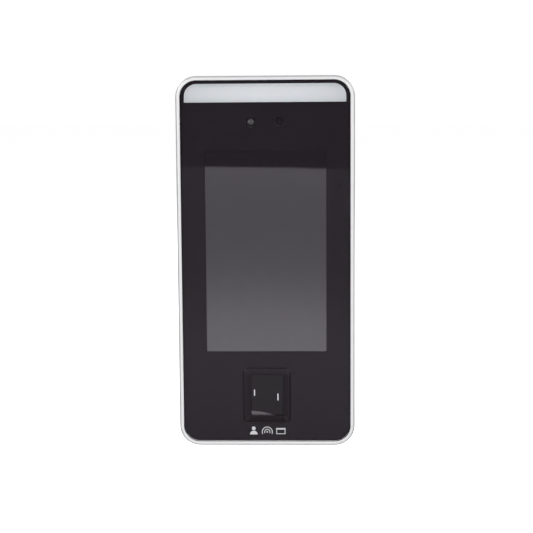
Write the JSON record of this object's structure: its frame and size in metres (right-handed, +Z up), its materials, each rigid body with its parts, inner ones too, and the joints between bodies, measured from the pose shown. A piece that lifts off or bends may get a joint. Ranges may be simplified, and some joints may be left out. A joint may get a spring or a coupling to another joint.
{
  "type": "fingerprint and face access terminal",
  "caption": "Slim wall-mounted access terminal: rounded upright slab of black glass in a silver frame, with a screen, face cameras under a milky light bar and a recessed fingerprint sensor.",
  "frame": {"origin": "on the wall, at the centre of the wall plate's four screw holes, behind the middle of the terminal's face", "axes": "+Z up along the terminal's height, +X to the right seen from the front, +Y into the wall, so the glass faces -Y"},
  "size_m": [0.0954, 0.022, 0.2002],
  "materials": {
    "plate_steel": "zinc-plated sheet, fine grain",
    "screw_steel": "nickel-plated",
    "frame_silver": "silver paint on cast alloy, satin",
    "cover_plastic": "fine moulded texture",
    "brass_insert": "knurled insert",
    "cover_glass": "clear, polished",
    "black_print": "black print seen through glass",
    "black_foam": "closed-cell foam",
    "touch_film": "clear film",
    "tray_steel": "pressed sheet",
    "white_plastic": "white reflector",
    "lcd_panel": "switched-off display, smooth",
    "flex_amber": "polyimide film over copper",
    "milky_diffuser": "milky, satin",
    "board_white": "white solder mask",
    "led_package": "phosphor in white package",
    "board_black": "black solder mask",
    "black_plastic": "fine moulded texture",
    "lens_barrel": "black, finely turned",
    "lens_glass": "coated lens",
    "dark_lens_glass": "dark coated lens",
    "dark_led": "dark resin",
    "bezel_plastic": "satin black",
    "prism_glass": "polished, dark behind",
    "board_green": "green solder mask",
    "chip_black": "moulded resin",
    "shield_tin": "tinned sheet",
    "capacitor_can": "bare can",
    "relay_blue": "moulded case",
    "battery_steel": "stamped cell",
    "gold_contact": "gold-plated",
    "header_white": "natural nylon",
    "tinned_pin": "tinned",
    "usb_steel": "nickel-plated sheet",
    "cone_paper": "doped paper",
    "black_rubber": "moulded",
    "plunger_plastic": "smooth, pale"
  },
  "bodies": {
    "wall_plate": {"wall_plate": "plate_steel"},
    "terminal": {"battery_clip": "black_plastic", "board_capacitors": "capacitor_can", "board_chips": "chip_black", "board_screws": "screw_steel", "camera_board": "board_black", "camera_flex": "flex_amber", "case_screws": "screw_steel", "chassis_plate": "tray_steel", "chassis_screws": "screw_steel", "clock_battery": "battery_steel", "color_camera_barrel": "lens_barrel", "color_camera_holder": "black_plastic", "color_camera_lens": "lens_glass", "cover_glass": "cover_glass", "front_frame": "frame_silver", "glass_tape": "black_foam", "header_pins": "tinned_pin", "infrared_camera_barrel": "lens_barrel", "infrared_camera_holder": "black_plastic", "infrared_camera_lens": "dark_lens_glass", "infrared_leds": "dark_led", "ink_border": "black_print", "lcd_backlight": "white_plastic", "lcd_flex": "flex_amber", "lcd_panel": "lcd_panel", "lcd_tray": "tray_steel", "light_board": "board_white", "light_box": "white_plastic", "light_diffuser": "milky_diffuser", "light_leds": "led_package", "lock_relay": "relay_blue", "main_board": "board_green", "microphone": "shield_tin", "microphone_boot": "black_rubber", "network_contacts": "gold_contact", "network_jack": "black_plastic", "processor_shield": "shield_tin", "rear_cover": "cover_plastic", "reset_switch": "black_plastic", "security_insert": "brass_insert", "sensor_bezel": "bezel_plastic", "sensor_board": "board_green", "sensor_chip": "chip_black", "sensor_flex": "flex_amber", "sensor_gasket": "black_foam", "sensor_housing": "black_plastic", "sensor_prism": "prism_glass", "speaker_cone": "cone_paper", "speaker_frame": "black_plastic", "speaker_seal": "black_foam", "tamper_switch": "black_plastic", "touch_film": "touch_film", "usb_contacts": "gold_contact", "usb_shell": "usb_steel", "usb_tongue": "black_plastic", "wiring_headers": "header_white"},
    "security_screw": {"security_screw": "screw_steel"},
    "tamper_plunger": {"tamper_plunger": "plunger_plastic"},
    "reset_plunger": {"reset_plunger": "plunger_plastic"}
  },
  "joints": [
    {"name": "terminal_lift", "type": "slide", "parent": "wall_plate", "child": "terminal", "axis": [0, 0, 1], "range_m": [0, 0.008]},
    {"name": "security_screw_out", "type": "slide", "parent": "wall_plate", "child": "security_screw", "axis": [0, 0, -1], "range_m": [0, 0.008]},
    {"name": "tamper_press", "type": "slide", "parent": "terminal", "child": "tamper_plunger", "axis": [0, -1, 0], "range_m": [0, 0.0012], "stiffness_N_per_m": 300, "springref_m": -0.001},
    {"name": "reset_press", "type": "slide", "parent": "terminal", "child": "reset_plunger", "axis": [0, 0, 1], "range_m": [0, 0.0004], "stiffness_N_per_m": 1500, "springref_m": -0.0004}
  ]
}
